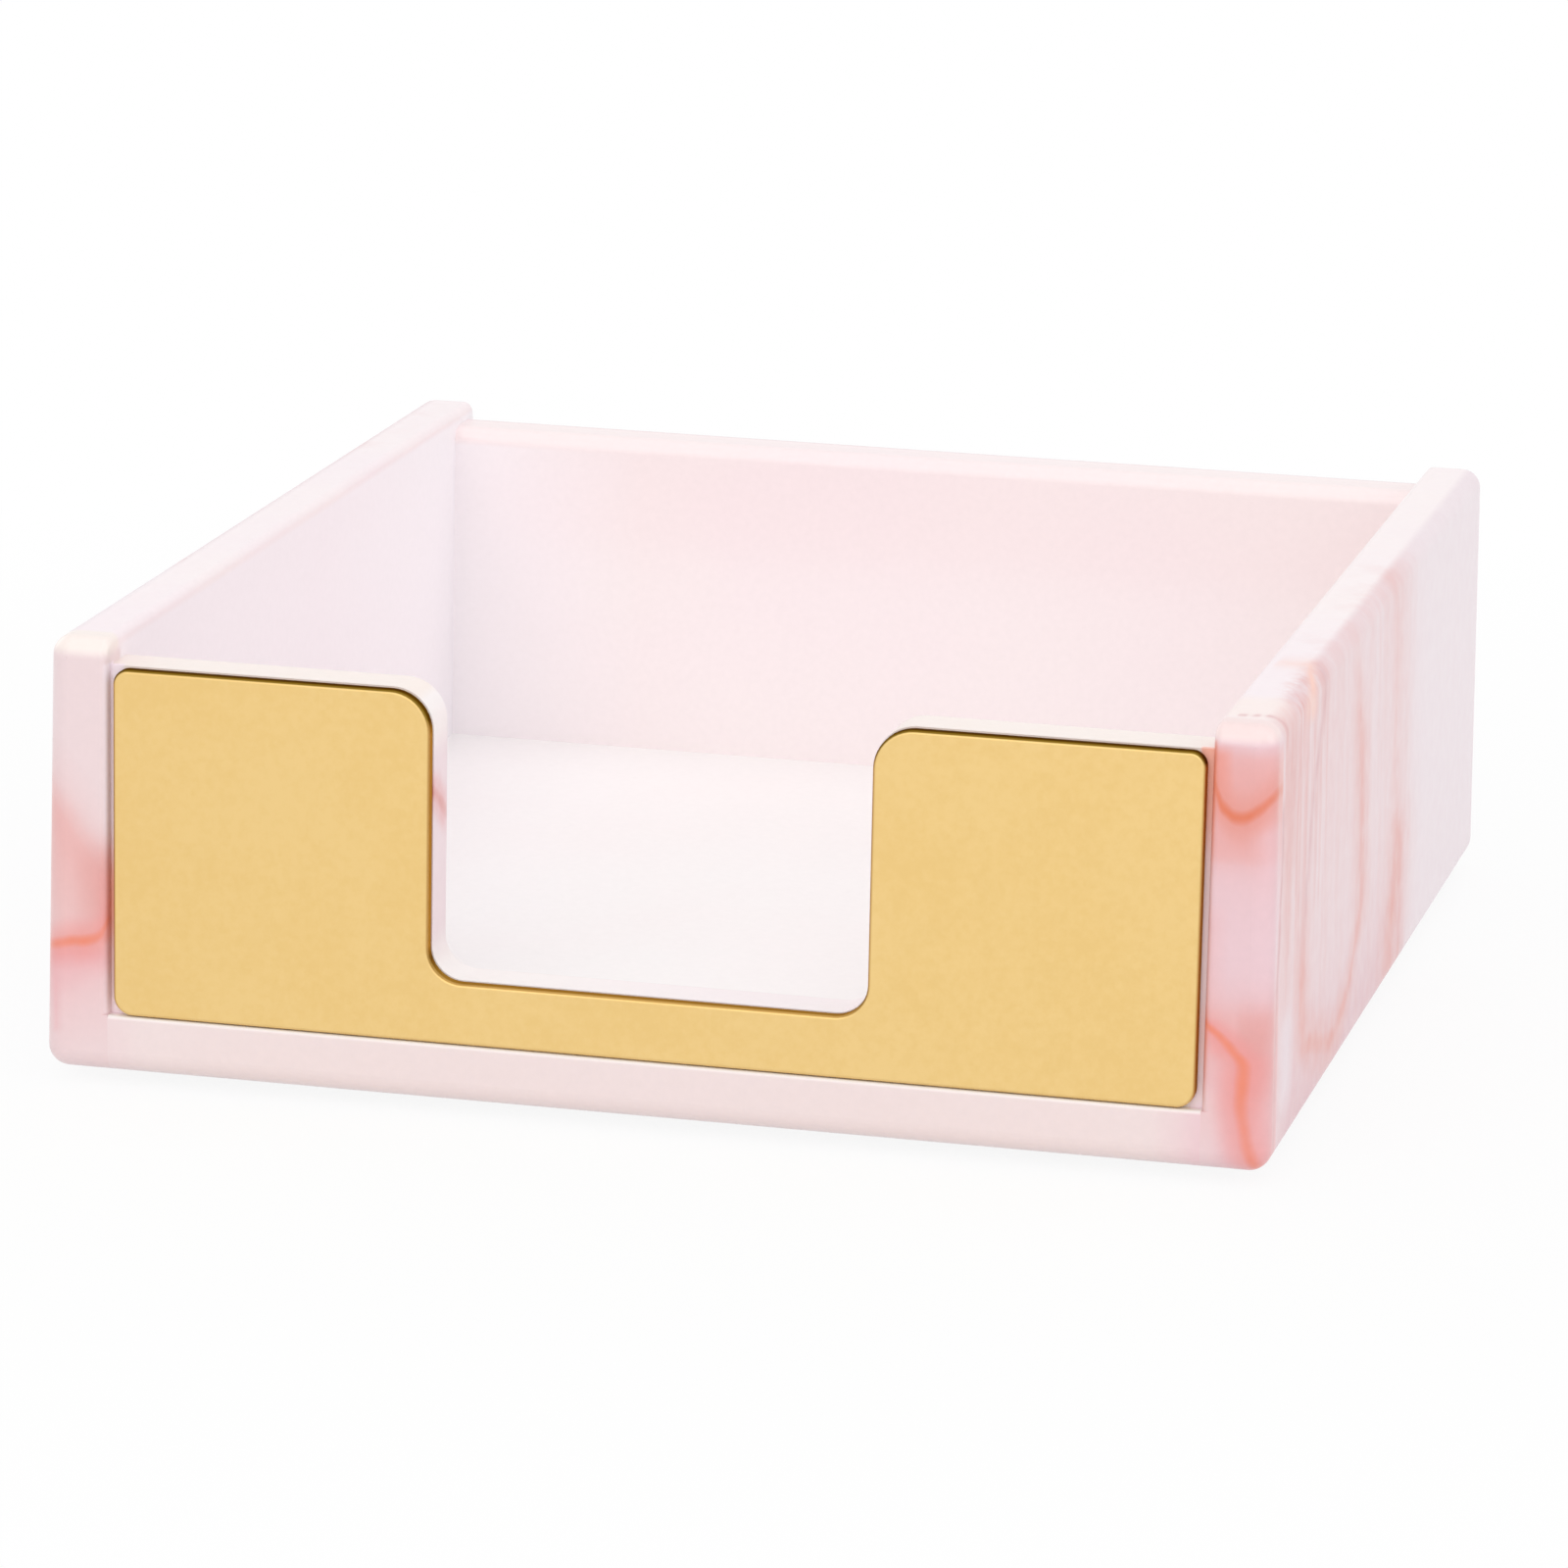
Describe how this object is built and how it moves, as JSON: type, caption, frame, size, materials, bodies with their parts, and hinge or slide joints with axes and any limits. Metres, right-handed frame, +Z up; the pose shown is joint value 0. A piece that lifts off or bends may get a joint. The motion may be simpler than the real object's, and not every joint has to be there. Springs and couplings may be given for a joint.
{
  "type": "sticky note dispenser",
  "caption": "Open desk tray for square sticky notes, with marble-look boards, proud rounded sides, and a wide finger notch through a flush gold-tone front plate.",
  "frame": {"origin": "on the desk, under the middle of the tray's width and depth", "axes": "+Z up, -Y out of the front with the plate and the notch, +X to the right seen from the front"},
  "size_m": [0.09, 0.0944, 0.0331],
  "materials": {
    "marble_print": "pale pink marble-look print under satin lacquer",
    "gold_plate": "fine satin, gold tone, darker polished edges",
    "adhesive_film": "double-sided adhesive film",
    "foot_pad": "matt foam rubber"
  },
  "bodies": {
    "root": {"base_panel": "marble_print", "left_side_panel": "marble_print", "right_side_panel": "marble_print", "front_panel": "marble_print", "back_panel": "marble_print", "front_plate": "gold_plate", "plate_adhesive": "adhesive_film", "foot_pad_front_left": "foot_pad", "foot_pad_front_right": "foot_pad", "foot_pad_rear_left": "foot_pad", "foot_pad_rear_right": "foot_pad"}
  },
  "joints": []
}
